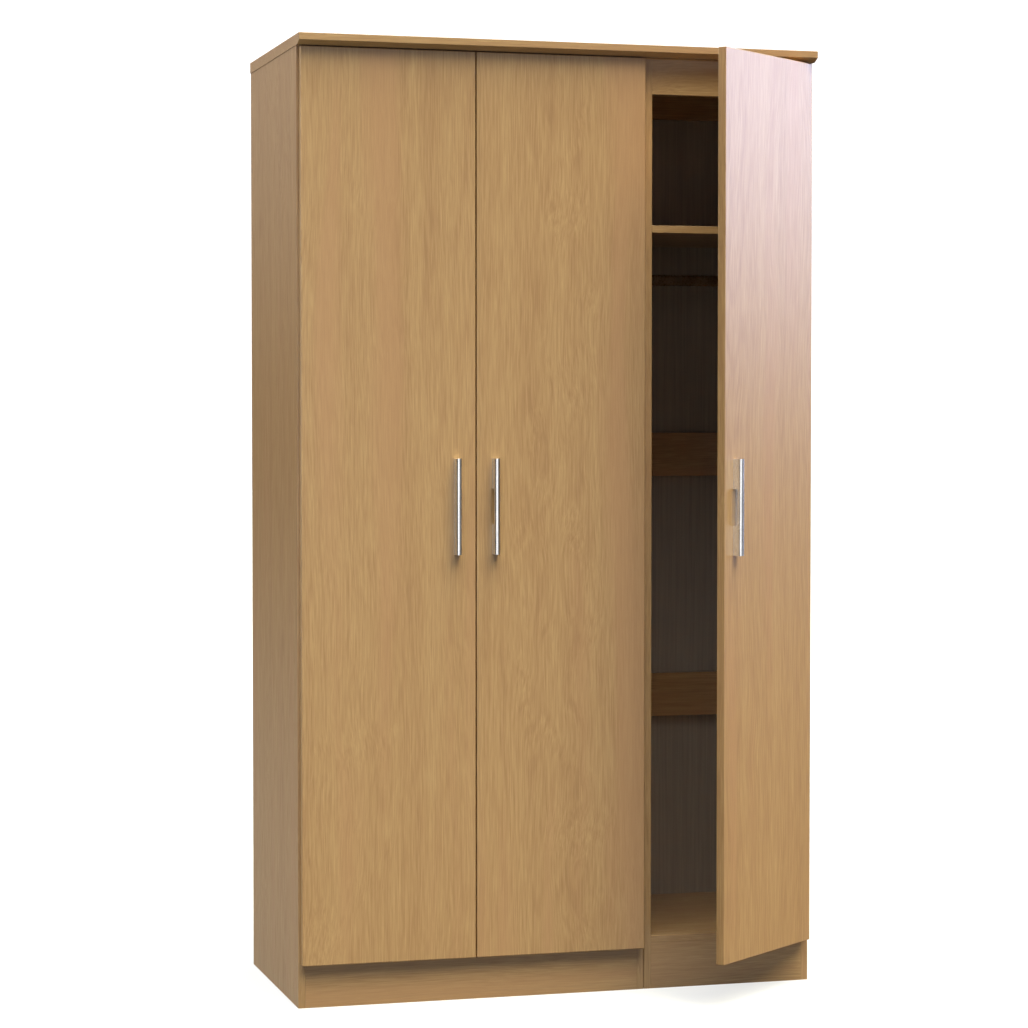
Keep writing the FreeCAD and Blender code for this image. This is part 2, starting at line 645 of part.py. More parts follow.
def on_hinge_line(shape, door, height):
    """Moves a hinge part to one hinge of a door, mirrored for a left-hung door."""
    if DOORS[door][2] < 0:
        shape = mirrored(shape)
    moved = shape.copy()
    moved.translate(pivot_of(door) + V(0, 0, height))
    return moved


def hinge_set(door, shape):
    """One copy of a hinge part at each hinge height of a door, with the door closed."""
    return [on_hinge_line(shape, door, height) for height in hinge_heights()]


def swung(shape, door, share=1.0):
    """Turns a shape about the door's pivot line by a share of its rest angle."""
    turned = shape.copy()
    angle = DOORS[door][2] * DOORS[door][3] * share
    turned.rotate(pivot_of(door), Z_AXIS, angle)
    return turned


# ---- doors and handles --------------------------------------------------------------
def free_edge(door):
    low, high, side, _ = DOORS[door]
    return low if side > 0 else high


def handle_x(door):
    return free_edge(door) + DOORS[door][2] * HANDLE_INSET


def handle_screw_heights():
    half = HANDLE_HOLE_SPACING / 2
    return (HANDLE_CENTRE_Z - half, HANDLE_CENTRE_Z + half)


def door_leaf(door):
    """The door board with its hinge-cup pockets and handle holes, closed."""
    low, high, _, _ = DOORS[door]
    leaf = block((low, high), (DOOR_FRONT, DOOR_BACK), (DOOR_BOTTOM, DOOR_TOP))
    leaf = leaf.makeFillet(DOOR_ROUND, leaf.Edges)
    for pocket in hinge_set(door, cup_hollow()):
        leaf = leaf.cut(pocket)
    for z in handle_screw_heights():
        ends = V(handle_x(door), DOOR_FRONT - 1, z), V(handle_x(door), DOOR_BACK + 1, z)
        leaf = leaf.cut(rod(HANDLE_SCREW[0] + 2 * FIT, *ends))
    return leaf


def finger_notch(door):
    """The pocket scooped from the handle's free-edge side, with sloping ends."""
    x_side = handle_x(door) - DOORS[door][2] * (HANDLE_WIDTH / 2 + 1)
    outside_y = DOOR_FRONT + 1
    end_y = DOOR_FRONT - NOTCH_END_DEPTH
    floor_y = DOOR_FRONT - NOTCH_DEPTH
    outline = []
    for sign in (-1, 1):
        end = HANDLE_CENTRE_Z + sign * NOTCH_LENGTH / 2
        deep_end = HANDLE_CENTRE_Z + sign * NOTCH_DEEP_LENGTH / 2
        side = [V(x_side, outside_y, end), V(x_side, end_y, end), V(x_side, floor_y, deep_end)]
        outline += side if sign < 0 else side[::-1]
    face = Part.Face(Part.makePolygon(outline + outline[:1]))
    pocket = face.extrude(V(DOORS[door][2] * (NOTCH_WIDTH + 1), 0, 0))
    return eased(pocket, NOTCH_ROUND, X_AXIS, lambda middle: middle.y < end_y + 1)


def handle(door):
    """A bar with flat sides and a half-round nose, standing upright on the door."""
    x = handle_x(door)
    half = HANDLE_LENGTH / 2
    radius = HANDLE_WIDTH / 2
    z = (HANDLE_CENTRE_Z - half, HANDLE_CENTRE_Z + half)
    nose_y = DOOR_FRONT - HANDLE_PROJECTION + radius
    bar = block((x - radius, x + radius), (nose_y, DOOR_FRONT), z)
    bar = bar.fuse(rod(radius, V(x, nose_y, z[0]), V(x, nose_y, z[1]))).removeSplitter()
    bar = bar.cut(finger_notch(door))
    for height in handle_screw_heights():
        mouth = V(x, DOOR_FRONT, height)
        bar = bar.cut(rod(HANDLE_SCREW[0], mouth - Y_AXIS * HANDLE_TAPPED_DEPTH, mouth))
    return bar


def handle_screws(door):
    """Two screws that come through the door into the handle's ends."""
    radius, head_radius, head_height = HANDLE_SCREW
    screws = []
    for z in handle_screw_heights():
        tip = V(handle_x(door), DOOR_FRONT - HANDLE_SCREW_BITE, z)
        seat = V(handle_x(door), DOOR_BACK, z)
        screws.append(screw((radius - FIT, head_radius, head_height), tip, seat))
    return screws


def door_pads(door):
    """Two clear stop pads behind the door's free corners."""
    x = free_edge(door) + DOORS[door][2] * PAD_FROM_EDGE
    pads = []
    for z in (PLINTH_HEIGHT + BOARD / 2, UNDER_TOP - RAIL_HEIGHT / 4):
        outer = V(x, DOOR_BACK + PAD, z)
        pads.append(crowned(rod(PAD_RADIUS, V(x, DOOR_BACK, z), outer), PAD_ROUND, outer))
    return pads


# ---- assembly -----------------------------------------------------------------------
def carcass_boards():
    """Every board of the two modules and the top, before any drilling."""
    boards = {
        "top_board": top_board(),
        "side_panel_left": upright((LEFT, LEFT + BOARD)),
        "partition_left": upright((DOUBLE_RIGHT - BOARD, DOUBLE_RIGHT)),
        "partition_right": upright((SINGLE_LEFT, SINGLE_LEFT + BOARD)),
        "side_panel_right": upright((RIGHT - BOARD, RIGHT)),
    }
    for name, inner in MODULES.items():
        boards["base_panel_" + name] = lying_board(inner, PLINTH_HEIGHT)
        boards["plinth_" + name] = front_board(inner, (0, PLINTH_HEIGHT))
        boards["front_rail_" + name] = front_board(inner, (RAIL_BOTTOM, UNDER_TOP))
        for level, (bottom, height) in BACK_RAILS.items():
            rail_name = "back_rail_" + level + "_" + name
            boards[rail_name] = back_rail(inner, (bottom, bottom + height))
    return boards


def drilled(boards, hollows):
    """Cuts each hollow from the boards that its box touches."""
    for name in boards:
        box = boards[name].BoundBox
        tools = [hollow for hollow in hollows if box.intersect(hollow.BoundBox)]
        if tools:
            boards[name] = boards[name].cut(tools)
    return boards


def panel_hollows():
    """Everything drilled or grooved in the carcass apart from cams and dowels."""
    hollows = []
    screw_hole = SOCKET_SCREW[0] + FIT
    screw_depth = X_AXIS * (SOCKET_SCREW_BITE + FIT)
    for x_low, x_high in MODULES.values():
        hollows.append(back_groove(x_low, 1))
        hollows.append(back_groove(x_high, -1))
        for y, z in socket_screw_points():
            hollows.append(rod(screw_hole, V(x_low, y, z) - screw_depth, V(x_low, y, z)))
            hollows.append(rod(screw_hole, V(x_high, y, z), V(x_high, y, z) + screw_depth))
    for y, z in connector_points():
        hollows.append(connector_hollow(y, z))
    for point, along in shelf_pin_seats():
        hollows.append(shelf_pin_hollow(point, along))
    for door in DOORS:
        hollows += hinge_set(door, plate_hollow())
    return hollows


def carcass():
    """Every node of the fixed carcass."""
    cams, bolts, dowels, hollows = fittings(joint_seats())
    nodes = drilled(carcass_boards(), hollows + panel_hollows())
    for name, x in MODULES.items():
        shelf_reach = (x[0] + SHELF_PLAY, x[1] - SHELF_PLAY)
        nodes["shelf_" + name] = lying_board(shelf_reach, SHELF_TOP - BOARD)
        nodes["back_panel_" + name] = back_panel(x)
        nodes["hanging_rail_" + name] = hanging_rail(x)
    sockets, socket_screws = [], []
    for x_low, x_high in MODULES.values():
        for face, inwards in ((x_low, 1), (x_high, -1)):
            sockets.append(rail_socket(face, inwards))
            for y, z in socket_screw_points():
                socket_screws.append(socket_screw(face, inwards, y, z))
    groups = {
        "rail_sockets": sockets,
        "rail_socket_screws": socket_screws,
        "shelf_pins": [shelf_pin(point, along) for point, along in shelf_pin_seats()],
        "cam_locks": cams,
        "cam_bolts": bolts,
        "dowels": dowels,
        "connector_sleeves": [connector_sleeve(y, z) for y, z in connector_points()],
        "connector_screws": [connector_screw(y, z) for y, z in connector_points()],
    }
    for name, solids in groups.items():
        nodes[name] = Part.makeCompound(solids)
    return nodes


def hinge_fixings():
    """The hinge arms, plates and their screws, all fixed to the carcass."""
    nodes = {}
    plates, screws = [], []
    for door in DOORS:
        nodes["hinge_arms_" + door] = Part.makeCompound(hinge_set(door, hinge_arm()))
        plates += hinge_set(door, hinge_plate())
        screws += hinge_set(door, arm_screw())
        for z in PLATE_SCREW_HEIGHTS:
            screws += hinge_set(door, plate_screw(z))
    nodes["hinge_plates"] = Part.makeCompound(plates)
    nodes["hinge_screws"] = Part.makeCompound(screws)
    return nodes


def door_parts(door):
    """Every node that belongs to one door, at its rest angle."""
    cup_screws = []
    for z in CUP_SCREW_HEIGHTS:
        cup_screws += hinge_set(door, cup_screw(z))
    closed = {
        "door_" + door: door_leaf(door),
        "handle_" + door: handle(door),
        "handle_screws_" + door: Part.makeCompound(handle_screws(door)),
        "door_pads_" + door: Part.makeCompound(door_pads(door)),
        "hinge_cups_" + door: Part.makeCompound(hinge_set(door, hinge_cup())),
        "cup_screws_" + door: Part.makeCompound(cup_screws),
    }
    nodes = {name: swung(shape, door) for name, shape in closed.items()}
    links = Part.makeCompound(hinge_set(door, hinge_link()))
    nodes["hinge_links_" + door] = swung(links, door, share=0.5)
    return nodes


def main():
    os.makedirs("parts", exist_ok=True)
    nodes = carcass()
    nodes.update(hinge_fixings())
    for door in DOORS:
        nodes.update(door_parts(door))
    for name, shape in nodes.items():
        shape.exportStep("parts/" + name + ".step")
        print(name, len(shape.Solids), "solids", round(shape.Volume), "mm3", shape.isValid())


main()
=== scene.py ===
import math

import bmesh
import bpy
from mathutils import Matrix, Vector

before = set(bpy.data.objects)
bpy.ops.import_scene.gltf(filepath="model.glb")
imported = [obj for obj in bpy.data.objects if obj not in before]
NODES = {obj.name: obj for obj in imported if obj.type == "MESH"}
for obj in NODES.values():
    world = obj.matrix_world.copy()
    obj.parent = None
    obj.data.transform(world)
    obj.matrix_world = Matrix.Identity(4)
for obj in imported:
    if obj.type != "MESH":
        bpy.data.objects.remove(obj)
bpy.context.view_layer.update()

# A three-door oak-effect wardrobe, its right-hand door ajar.  Metres.  The frame's own
# axes: +Z up, +X right, the front faces -Y, and the origin is on the floor.

DOORS = ("left", "middle", "right")
MODULES = ("double", "single")
UPRIGHTS = ("side_panel_left", "partition_left", "partition_right", "side_panel_right")
LYING_BOARDS = (
    "base_panel",
    "plinth",
    "front_rail",
    "shelf",
    "back_rail_top",
    "back_rail_mid",
    "back_rail_low",
)

# Camera, as fitted to the photo's edges: left of the middle and well back.  Angles are
# in radians, lens and sensor in millimetres.
CAMERA_PLACE = Vector((-1.706, -5.666, 1.205))
CAMERA_YAW = 0.2765
CAMERA_PITCH = -0.0345
CAMERA_LENS = 100.0
CAMERA_SENSOR = 36.0

WHITE = (1, 1, 1, 1)

# Tones of the oak print, from its darkest line to its palest field.
OAK_DARK = (0.392, 0.218, 0.092, 1)
OAK_MID = (0.475, 0.285, 0.125, 1)
OAK_PALE = (0.553, 0.351, 0.164, 1)
OAK_ROSY = (0.492, 0.272, 0.130, 1)

# Scales of the print's noises, per metre: twice across the grain, then along it.
DRIFT_SCALE = (2.5, 2.5, 0.9)
FLAME_SCALE = (9.0, 9.0, 3.2)
FLAME_PATCH_SCALE = (5.0, 5.0, 1.4)
BAND_SCALE = (24.0, 24.0, 0.35)
HUE_SCALE = (15.0, 15.0, 0.8)
STREAK_SCALE = (115.0, 115.0, 1.6)
LINE_SCALE = (390.0, 390.0, 12.0)
HEART_SCALE = (7.0, 7.0, 0.5)
RING_PATCH_SCALE = (4.0, 4.0, 0.7)
PORE_SCALE = (1300.0, 1300.0, 34.0)
RING_PACE = 150.0

# How far, in metres, the grain wanders sideways.
FLAME_SHIFT = 0.050
DRIFT_SHIFT = 0.060

# How far each pattern moves the tone, which runs from 0, dark, to 1, pale.
BAND_TONE = 0.8
STREAK_TONE = 0.40
LINE_TONE = 2.0
RING_TONE = -0.16

# Greatest shares of the rosy tint and of the pores' dark colour.
ROSY_SHARE = 0.6
PORE_SHARE = 0.35

# Noise values between which each feature fades in.
FLAME_PATCH_EDGE = (0.48, 0.68)
RING_EDGE = (0.35, 1.0)
RING_PATCH_EDGE = (0.42, 0.60)
PORE_EDGE = (0.60, 0.74)
ROSY_EDGE = (0.50, 0.72)

# Ranges that hold most of a noise's values: one wide, one narrower for more contrast.
WIDE = (0.3, 0.7)
NARROW = (0.35, 0.65)

# The foil's surface: roughness on dark lines and on pale ones, relief and lacquer.
LINE_ROUGHNESS = (0.36, 0.28)
PORE_RELIEF = -0.7
LINE_RELIEF = 0.5
OAK_BUMP = 0.00012
OAK_BUMP_STRENGTH = 0.5
OAK_COAT = 0.5
OAK_COAT_ROUGHNESS = 0.12

# Darker and paler tones of the other materials.
STEEL_TONES = ((0.78, 0.78, 0.77, 1), (0.84, 0.835, 0.82, 1))
PRINTED_TONES = ((0.330, 0.280, 0.230, 1), (0.425, 0.365, 0.305, 1))
RAW_TONES = ((0.205, 0.120, 0.062, 1), (0.300, 0.185, 0.098, 1))
BEECH_TONES = ((0.46, 0.29, 0.15, 1), (0.62, 0.43, 0.25, 1))
PAD_TONES = ((0.74, 0.75, 0.74, 1), (0.86, 0.87, 0.86, 1))

# Turns that lay the print's grain, which runs along Z, along a board.
GRAIN_TURNS = {"Z": (0, 0, 0), "X": (0, math.pi / 2, 0)}

# Where each board is cut from the endless print, as a start and a step from board to
# board, in metres, so that no two boards match.
DOOR_CUT = ((0.0, 0.0, 0.0), (1.7, 0.4, 2.3))
UPRIGHT_CUT = ((5.1, 0.0, 0.0), (1.3, 0.7, 1.9))
TOP_CUT = (3.1, 8.2, 0.3)
MODULE_CUT = ((0.0, 2.1, 0.0), (0.0, 1.1, 3.7))
LYING_STEP = (0.9, 0.0, 0.8)


# ---- node wiring ----------------------------------------------------------------------
class Wiring:
    """Adds shader nodes to one tree and links them by input name."""

    def __init__(self, tree):
        self.tree = tree

    def add(self, kind, inputs=(), **settings):
        node = self.tree.nodes.new(kind)
        for name, value in settings.items():
            setattr(node, name, value)
        for name, value in dict(inputs).items():
            self.fill(node, name, value)
        return node

    def fill(self, node, name, value):
        """Links an output to a node's input, or sets the input to a plain value."""
        if isinstance(value, bpy.types.NodeSocket):
            self.tree.links.new(value, node.inputs[name])
        else:
            node.inputs[name].default_value = value

    def feed(self, shader, values):
        for name, value in values.items():
            self.fill(shader, name, value)

    def math(self, operation, first, second=0.0, third=0.0):
        values = {0: first, 1: second, 2: third}
        return self.add("ShaderNodeMath", values, operation=operation).outputs[0]

    def swing(self, noise, amount, base=0.0):
        """Moves a base up and down by a noise that is centred on a half."""
        return self.math("MULTIPLY_ADD", self.math("SUBTRACT", noise, 0.5), amount, base)

    def noise(self, vector, scale, detail=2.0, roughness=0.5):
        inputs = {"Vector": vector, "Scale": scale, "Detail": detail, "Roughness": roughness}
        return self.add("ShaderNodeTexNoise", inputs).outputs["Fac"]

    def stretched_noise(self, vector, scales, detail=2.0, roughness=0.5):
        """Noise with its own scale along each axis."""
        inputs = {0: vector, 1: scales}
        scaled = self.add("ShaderNodeVectorMath", inputs, operation="MULTIPLY").outputs[0]
        return self.noise(scaled, 1.0, detail, roughness)

    def band(self, value, low, high, to_low=0.0, to_high=1.0):
        """Eases a value from one range to another, clamped at both ends."""
        inputs = {"Value": value, 1: low, 2: high, 3: to_low, 4: to_high}
        node = self.add("ShaderNodeMapRange", inputs, interpolation_type="SMOOTHSTEP")
        return node.outputs[0]

    def blend(self, share, first, second):
        inputs = {0: share, 6: first, 7: second}
        return self.add("ShaderNodeMix", inputs, data_type="RGBA").outputs[2]

    def bump(self, height, distance, strength=1.0):
        inputs = {"Height": height, "Distance": distance, "Strength": strength}
        return self.add("ShaderNodeBump", inputs).outputs["Normal"]


def new_material(name):
    material = bpy.data.materials.new(name)
    material.use_nodes = True
    wiring = Wiring(material.node_tree)
    shader = material.node_tree.nodes["Principled BSDF"]
    return material, wiring, shader


def object_place(wiring):
    return wiring.add("ShaderNodeTexCoord").outputs["Object"]


# ---- oak print ------------------------------------------------------------------------
def wandering_grain(w, place):
    """The place moved sideways: by a slow drift, and by quicker flames in patches."""
    drift = w.stretched_noise(place, DRIFT_SCALE, 1.0)
    flame = w.stretched_noise(place, FLAME_SCALE, 1.5)
    patch = w.band(w.stretched_noise(place, FLAME_PATCH_SCALE, 0.0), *FLAME_PATCH_EDGE)
    shift = w.swing(flame, w.math("MULTIPLY", patch, FLAME_SHIFT))
    shift = w.swing(drift, DRIFT_SHIFT, shift)
    sideways = w.add("ShaderNodeCombineXYZ", {"X": shift, "Y": shift}).outputs[0]
    return w.add("ShaderNodeVectorMath", {0: place, 1: sideways}).outputs[0]


def oak_group():
    """Oak with its grain along Z: colour, fine lines and surface height."""
    tree = bpy.data.node_groups.new("oak_print", "ShaderNodeTree")
    tree.interface.new_socket("Place", in_out="INPUT", socket_type="NodeSocketVector")
    tree.interface.new_socket("Color", in_out="OUTPUT", socket_type="NodeSocketColor")
    tree.interface.new_socket("Lines", in_out="OUTPUT", socket_type="NodeSocketFloat")
    tree.interface.new_socket("Height", in_out="OUTPUT", socket_type="NodeSocketFloat")
    w = Wiring(tree)
    place = w.add("NodeGroupInput").outputs["Place"]
    grain = wandering_grain(w, place)

    bands = w.stretched_noise(grain, BAND_SCALE, 2.0, 0.55)
    hue = w.stretched_noise(grain, HUE_SCALE, 1.0)
    streaks = w.stretched_noise(grain, STREAK_SCALE, 3.0, 0.62)
    lines = w.stretched_noise(grain, LINE_SCALE, 2.0, 0.6)
    heart = w.stretched_noise(grain, HEART_SCALE, 1.0)
    rings = w.band(w.math("SINE", w.math("MULTIPLY", heart, RING_PACE)), *RING_EDGE)
    ring_patch = w.band(w.stretched_noise(place, RING_PATCH_SCALE, 0.0), *RING_PATCH_EDGE)
    pores = w.band(w.stretched_noise(grain, PORE_SCALE, 1.0), *PORE_EDGE)

    tone = w.swing(bands, BAND_TONE, 0.5)
    tone = w.swing(streaks, STREAK_TONE, tone)
    tone = w.swing(lines, LINE_TONE, tone)
    tone = w.math("MULTIPLY_ADD", w.math("MULTIPLY", rings, ring_patch), RING_TONE, tone)
    colour = w.add("ShaderNodeValToRGB", {"Fac": tone})
    dark, pale = colour.color_ramp.elements
    dark.color = OAK_DARK
    pale.color = OAK_PALE
    colour.color_ramp.elements.new(0.5).color = OAK_MID
    rosy = w.band(hue, *ROSY_EDGE, 0.0, ROSY_SHARE)
    tinted = w.blend(rosy, colour.outputs[0], OAK_ROSY)
    pored = w.blend(w.math("MULTIPLY", pores, PORE_SHARE), tinted, OAK_DARK)

    height = w.math("MULTIPLY_ADD", pores, PORE_RELIEF, w.math("MULTIPLY", lines, LINE_RELIEF))
    w.add("NodeGroupOutput", {"Color": pored, "Lines": lines, "Height": height})
    return tree


OAK = oak_group()


def oak(name, grain, offset):
    """The foil-wrapped board's material, its grain along X or Z, offset per board."""
    material, w, shader = new_material(name)
    inputs = {"Vector": object_place(w), "Rotation": GRAIN_TURNS[grain], "Location": offset}
    turned = w.add("ShaderNodeMapping", inputs).outputs[0]
    print_node = w.add("ShaderNodeGroup", node_tree=OAK)
    w.fill(print_node, "Place", turned)
    finish = {
        "Base Color": print_node.outputs["Color"],
        "Roughness": w.band(print_node.outputs["Lines"], *WIDE, *LINE_ROUGHNESS),
        "Normal": w.bump(print_node.outputs["Height"], OAK_BUMP, OAK_BUMP_STRENGTH),
        "Coat Weight": OAK_COAT,
        "Coat Roughness": OAK_COAT_ROUGHNESS,
    }
    w.feed(shader, finish)
    return material


# ---- other materials ------------------------------------------------------------------
def speckled(name, colour, darker, metallic, roughness, scale, bump_depth):
    """Colour mottling, roughness variation and fine bump; the scale is per metre."""
    material, w, shader = new_material(name)
    place = object_place(w)
    mottle = w.noise(place, scale, 3.0)
    fine = w.noise(place, scale * 6, 2.0)
    finish = {
        "Base Color": w.blend(w.band(mottle, *NARROW), darker, colour),
        "Roughness": w.band(fine, *WIDE, roughness * 0.8, roughness * 1.2),
        "Normal": w.bump(fine, bump_depth),
        "Metallic": metallic,
    }
    w.feed(shader, finish)
    return material


def nickel_plate():
    return speckled(
        "nickel_plate",
        colour=(0.66, 0.64, 0.60, 1),
        darker=(0.54, 0.53, 0.50, 1),
        metallic=1.0,
        roughness=0.24,
        scale=60.0,
        bump_depth=0.00001,
    )


def zinc_plate():
    return speckled(
        "zinc_plate",
        colour=(0.58, 0.59, 0.60, 1),
        darker=(0.44, 0.45, 0.47, 1),
        metallic=1.0,
        roughness=0.34,
        scale=120.0,
        bump_depth=0.00001,
    )


def brown_lacquer():
    return speckled(
        "brown_lacquer",
        colour=(0.165, 0.100, 0.055, 1),
        darker=(0.125, 0.072, 0.038, 1),
        metallic=0.0,
        roughness=0.3,
        scale=40.0,
        bump_depth=0.00002,
    )


def brown_plastic():
    return speckled(
        "brown_plastic",
        colour=(0.115, 0.070, 0.040, 1),
        darker=(0.090, 0.055, 0.032, 1),
        metallic=0.0,
        roughness=0.42,
        scale=200.0,
        bump_depth=0.00002,
    )


def brushed_steel():
    """Satin steel, brushed along the handle's length."""
    material, w, shader = new_material("brushed_steel")
    place = object_place(w)
    brush = w.stretched_noise(place, (2600.0, 2600.0, 18.0), 3.0, 0.7)
    cloud = w.band(w.noise(place, 30.0, 2.0), *NARROW)
    finish = {
        "Base Color": w.blend(cloud, *STEEL_TONES),
        "Roughness": w.band(brush, *WIDE, 0.24, 0.34),
        "Normal": w.bump(brush, 0.00002),
        "Metallic": 1.0,
    }
    w.feed(shader, finish)
    return material


def back_sheet():
    """Hardboard, its front printed with a faint upright grain and its rear left raw."""
    material, w, shader = new_material("back_sheet")
    place = object_place(w)
    grain = w.stretched_noise(place, (260.0, 260.0, 4.0), 3.0, 0.6)
    cloud = w.stretched_noise(place, (8.0, 8.0, 2.0), 2.0)
    tone = w.band(w.swing(cloud, 0.5, grain), 0.2, 0.8)
    printed = w.blend(tone, *PRINTED_TONES)
    fibres = w.noise(place, 700.0, 3.0, 0.7)
    patches = w.noise(place, 14.0, 2.0)
    pulp = w.band(w.swing(patches, 0.4, fibres), *WIDE)
    raw = w.blend(pulp, *RAW_TONES)
    facing = w.add("ShaderNodeTexCoord").outputs["Normal"]
    rear = w.band(w.add("ShaderNodeSeparateXYZ", {0: facing}).outputs["Y"], 0.4, 0.6)
    finish = {
        "Base Color": w.blend(rear, printed, raw),
        "Roughness": w.band(grain, *WIDE, 0.62, 0.5),
        "Normal": w.bump(w.math("ADD", grain, fibres), 0.00006),
    }
    w.feed(shader, finish)
    return material


def beech():
    material, w, shader = new_material("beech")
    fleck = w.noise(object_place(w), 900.0, 2.0)
    pale = w.band(fleck, 0.4, 0.6)
    finish = {
        "Base Color": w.blend(pale, *BEECH_TONES),
        "Roughness": w.band(fleck, *WIDE, 0.6, 0.75),
    }
    w.feed(shader, finish)
    return material


def clear_pad():
    material, w, shader = new_material("clear_pad")
    cloud = w.noise(object_place(w), 400.0, 2.0)
    finish = {
        "Base Color": w.blend(cloud, *PAD_TONES),
        "Roughness": w.band(cloud, *WIDE, 0.12, 0.22),
        "Transmission Weight": 0.6,
        "IOR": 1.45,
    }
    w.feed(shader, finish)
    return material


# ---- dressing the CAD nodes -----------------------------------------------------------
def wear(node_name, material):
    """Gives a CAD node its finish."""
    slots = NODES[node_name].data.materials
    slots.clear()
    slots.append(material)


def cut(start, step, index):
    return tuple(low + stride * index for low, stride in zip(start, step))


def dress_boards():
    for index, side in enumerate(DOORS):
        wear("door_" + side, oak("oak_door_" + side, "Z", cut(*DOOR_CUT, index)))
    for index, node_name in enumerate(UPRIGHTS):
        wear(node_name, oak("oak_" + node_name, "Z", cut(*UPRIGHT_CUT, index)))
    wear("top_board", oak("oak_top_board", "X", TOP_CUT))
    for index, family in enumerate(LYING_BOARDS):
        for number, module in enumerate(MODULES):
            node_name = family + "_" + module
            offset = cut(cut(*MODULE_CUT, number), LYING_STEP, index)
            wear(node_name, oak("oak_" + node_name, "X", offset))


def dress_doors(nickel, zinc):
    steel = brushed_steel()
    pad = clear_pad()
    for door in DOORS:
        wear("handle_" + door, steel)
        wear("handle_screws_" + door, zinc)
        wear("cup_screws_" + door, zinc)
        wear("door_pads_" + door, pad)
        for family in ("hinge_cups_", "hinge_links_", "hinge_arms_"):
            wear(family + door, nickel)


def dress_carcass_fittings(nickel, zinc):
    wear("hinge_plates", nickel)
    for family in ("hinge", "connector", "rail_socket"):
        wear(family + "_screws", zinc)
    for node_name in ("cam_locks", "cam_bolts", "connector_sleeves", "shelf_pins"):
        wear(node_name, zinc)
    wear("dowels", beech())
    wear("rail_sockets", brown_plastic())
    lacquer = brown_lacquer()
    hardboard = back_sheet()
    for module in MODULES:
        wear("hanging_rail_" + module, lacquer)
        wear("back_panel_" + module, hardboard)


# ---- studio ---------------------------------------------------------------------------
# Light panels around the room: azimuth from and to, in degrees from the front towards
# the right, elevation from and to, and radiance in red, green and blue.
PANELS = (
    ((12, 72), (74, 120), (59.0, 56.0, 43.0)),  # strip light above the front
    ((15, 66), (57, 74), (13.8, 13.2, 9.8)),  # softbox overhead on the right
    ((-75, 15), (57, 74), (9.1, 8.9, 7.4)),  # softbox overhead on the left
    ((12, 64), (42, 57), (8.9, 8.1, 5.3)),  # key, high on the right
    ((-60, 12), (42, 57), (3.1, 3.6, 4.1)),  # its dimmer extension to the left
    ((-180, -110), (22, 57), (2.6, 2.8, 3.2)),  # wall light behind on the left
    ((-180, -140), (3, 20), (0.30, 0.25, 0.22)),  # foot of that wall, seen in the side's gloss
    ((-180, -140), (-25, -4), (0.19, 0.20, 0.19)),  # pale floor, seen in the side's gloss
    ((-135, -95), (2, 22), (6.0, 5.6, 5.0)),  # low lamp on the left
    ((80, 114), (3, 22), (4.8, 5.0, 6.9)),  # window on the right
    ((114, 180), (3, 55), (1.3, 1.4, 1.3)),  # wall behind on the right
    ((-30, 40), (-14, 14), (0.50, 0.50, 0.54)),  # pale wall behind the camera
)

# Half-widths, in degrees, of the soft edges of the panels.
SOFT_SIDE = 6.0
SOFT_TOP = 5.0

# A card that the satin handles mirror.  Its size is the long side, then the short one.
CARD_PLACE = Vector((-1.95, -4.05, 1.0))
CARD_TARGET = Vector((0.0, 0.0, 1.0))
CARD_SIZE = (4.6, 1.8)
CARD_RADIANCE = 1.8

# The floor in view, the duller sheet under it, and the white shell round the room.
FLOOR_HALF = 40.0
FLOOR_BASE = 0.33
FLOOR_GLOW = 0.62
BOUNCE_HEIGHT = -0.001
BOUNCE_BASE = 0.11
BACKDROP_RADIUS = 60.0
BACKDROP_GLOW = 1.3


def panel_share(w, way, azimuth, elevation):
    """How far a direction lies inside one panel, soft at its edges."""
    middle = math.radians(sum(azimuth) / 2)
    half = (azimuth[1] - azimuth[0]) / 2
    x, y, z = w.add("ShaderNodeSeparateXYZ", {0: way}).outputs
    ahead = w.math("MULTIPLY_ADD", x, math.sin(middle), w.math("MULTIPLY", y, -math.cos(middle)))
    beside = w.math("MULTIPLY_ADD", x, math.cos(middle), w.math("MULTIPLY", y, math.sin(middle)))
    turn = w.math("ABSOLUTE", w.math("DEGREES", w.math("ARCTAN2", beside, ahead)))
    rise = w.math("DEGREES", w.math("ARCSINE", z))
    across = w.band(turn, half - SOFT_SIDE, half + SOFT_SIDE, 1.0, 0.0)
    above = w.band(rise, elevation[0] - SOFT_TOP, elevation[0] + SOFT_TOP)
    below = w.band(rise, elevation[1] - SOFT_TOP, elevation[1] + SOFT_TOP, 1.0, 0.0)
    return w.math("MULTIPLY", across, w.math("MULTIPLY", above, below))


def room_light():
    """Adds up the light panels in the world's background."""
    world = bpy.data.worlds.new("room")
    world.use_nodes = True
    bpy.context.scene.world = world
    w = Wiring(world.node_tree)
    way = w.add("ShaderNodeTexCoord").outputs["Generated"]
    total = None
    for azimuth, elevation, colour in PANELS:
        inputs = {0: colour, "Scale": panel_share(w, way, azimuth, elevation)}
        lit = w.add("ShaderNodeVectorMath", inputs, operation="SCALE").outputs[0]
        if total is not None:
            lit = w.add("ShaderNodeVectorMath", {0: total, 1: lit}).outputs[0]
        total = lit
    w.fill(world.node_tree.nodes["Background"], "Color", total)


def plain_glow(name, base, glow):
    material, w, shader = new_material(name)
    finish = {
        "Base Color": (base, base, base, 1),
        "Roughness": 1.0,
        "Specular IOR Level": 0.0,
        "Emission Color": WHITE,
        "Emission Strength": glow,
    }
    w.feed(shader, finish)
    return material


def staged(name, mesh, base, glow):
    """Puts a studio surface in the scene; nothing glossy mirrors it."""
    mesh.materials.append(plain_glow(name, base, glow))
    surface = bpy.data.objects.new(name, mesh)
    bpy.context.scene.collection.objects.link(surface)
    surface.visible_glossy = False
    return surface


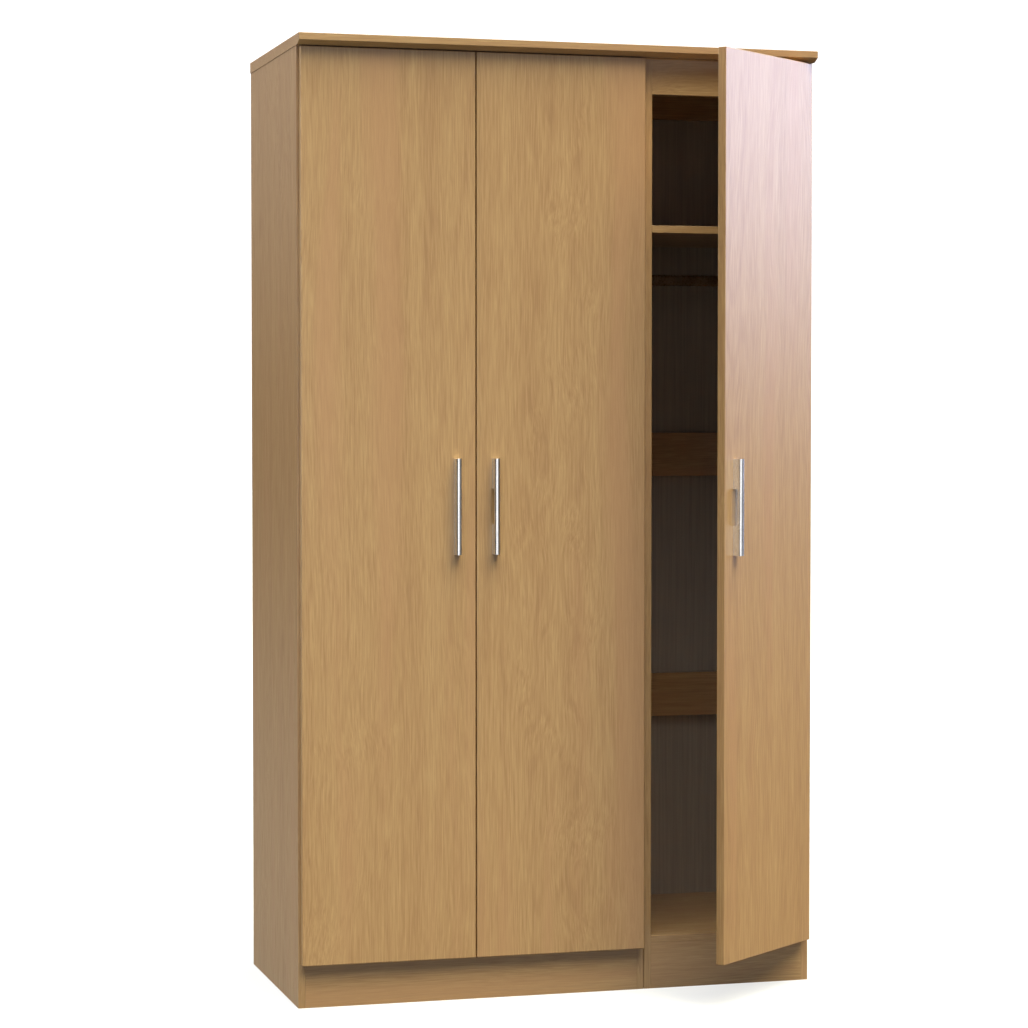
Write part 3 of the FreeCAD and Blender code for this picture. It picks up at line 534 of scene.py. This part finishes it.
def hide_from_light(surface):
    """Keeps a surface from lighting, shading or showing through anything."""
    surface.visible_diffuse = False
    surface.visible_transmission = False
    surface.visible_shadow = False


def floor_mesh(name, height):
    low, high = -FLOOR_HALF, FLOOR_HALF
    corners = [(low, low, height), (high, low, height), (high, high, height), (low, high, height)]
    mesh = bpy.data.meshes.new(name)
    mesh.from_pydata(corners, [], [(0, 1, 2, 3)])
    return mesh


def studio_floor():
    """The pale floor in view, and a duller one below it that bounces light up."""
    shown = staged("studio_floor", floor_mesh("studio_floor", 0.0), FLOOR_BASE, FLOOR_GLOW)
    hide_from_light(shown)
    bounce_mesh = floor_mesh("studio_bounce", BOUNCE_HEIGHT)
    bounce = staged("studio_bounce", bounce_mesh, BOUNCE_BASE, 0.0)
    bounce.visible_camera = False


def studio_backdrop():
    """A white shell all round, seen by the camera but casting no light."""
    shell = bmesh.new()
    bmesh.ops.create_icosphere(shell, subdivisions=4, radius=BACKDROP_RADIUS)
    mesh = bpy.data.meshes.new("studio_backdrop")
    shell.to_mesh(mesh)
    shell.free()
    hide_from_light(staged("studio_backdrop", mesh, 0.0, BACKDROP_GLOW))


def handle_card():
    """A wide card, tilted, that shows only in glossy surfaces."""
    data = bpy.data.lights.new("handle_card", "AREA")
    data.shape = "RECTANGLE"
    data.size, data.size_y = CARD_SIZE
    data.energy = CARD_RADIANCE * math.pi * CARD_SIZE[0] * CARD_SIZE[1]
    card = bpy.data.objects.new("handle_card", data)
    card.location = CARD_PLACE
    card.rotation_euler = (CARD_TARGET - CARD_PLACE).to_track_quat("-Z", "Z").to_euler()
    card.visible_diffuse = False
    card.visible_camera = False
    bpy.context.scene.collection.objects.link(card)


def camera():
    data = bpy.data.cameras.new("camera")
    data.lens = CAMERA_LENS
    data.sensor_width = CAMERA_SENSOR
    viewer = bpy.data.objects.new("camera", data)
    viewer.location = CAMERA_PLACE
    viewer.rotation_euler = (math.pi / 2 + CAMERA_PITCH, 0, -CAMERA_YAW)
    bpy.context.scene.collection.objects.link(viewer)
    bpy.context.scene.camera = viewer


bpy.context.scene.view_settings.view_transform = "Standard"
camera()
room_light()
studio_floor()
studio_backdrop()
handle_card()
dress_boards()
nickel_finish = nickel_plate()
zinc_finish = zinc_plate()
dress_doors(nickel_finish, zinc_finish)
dress_carcass_fittings(nickel_finish, zinc_finish)
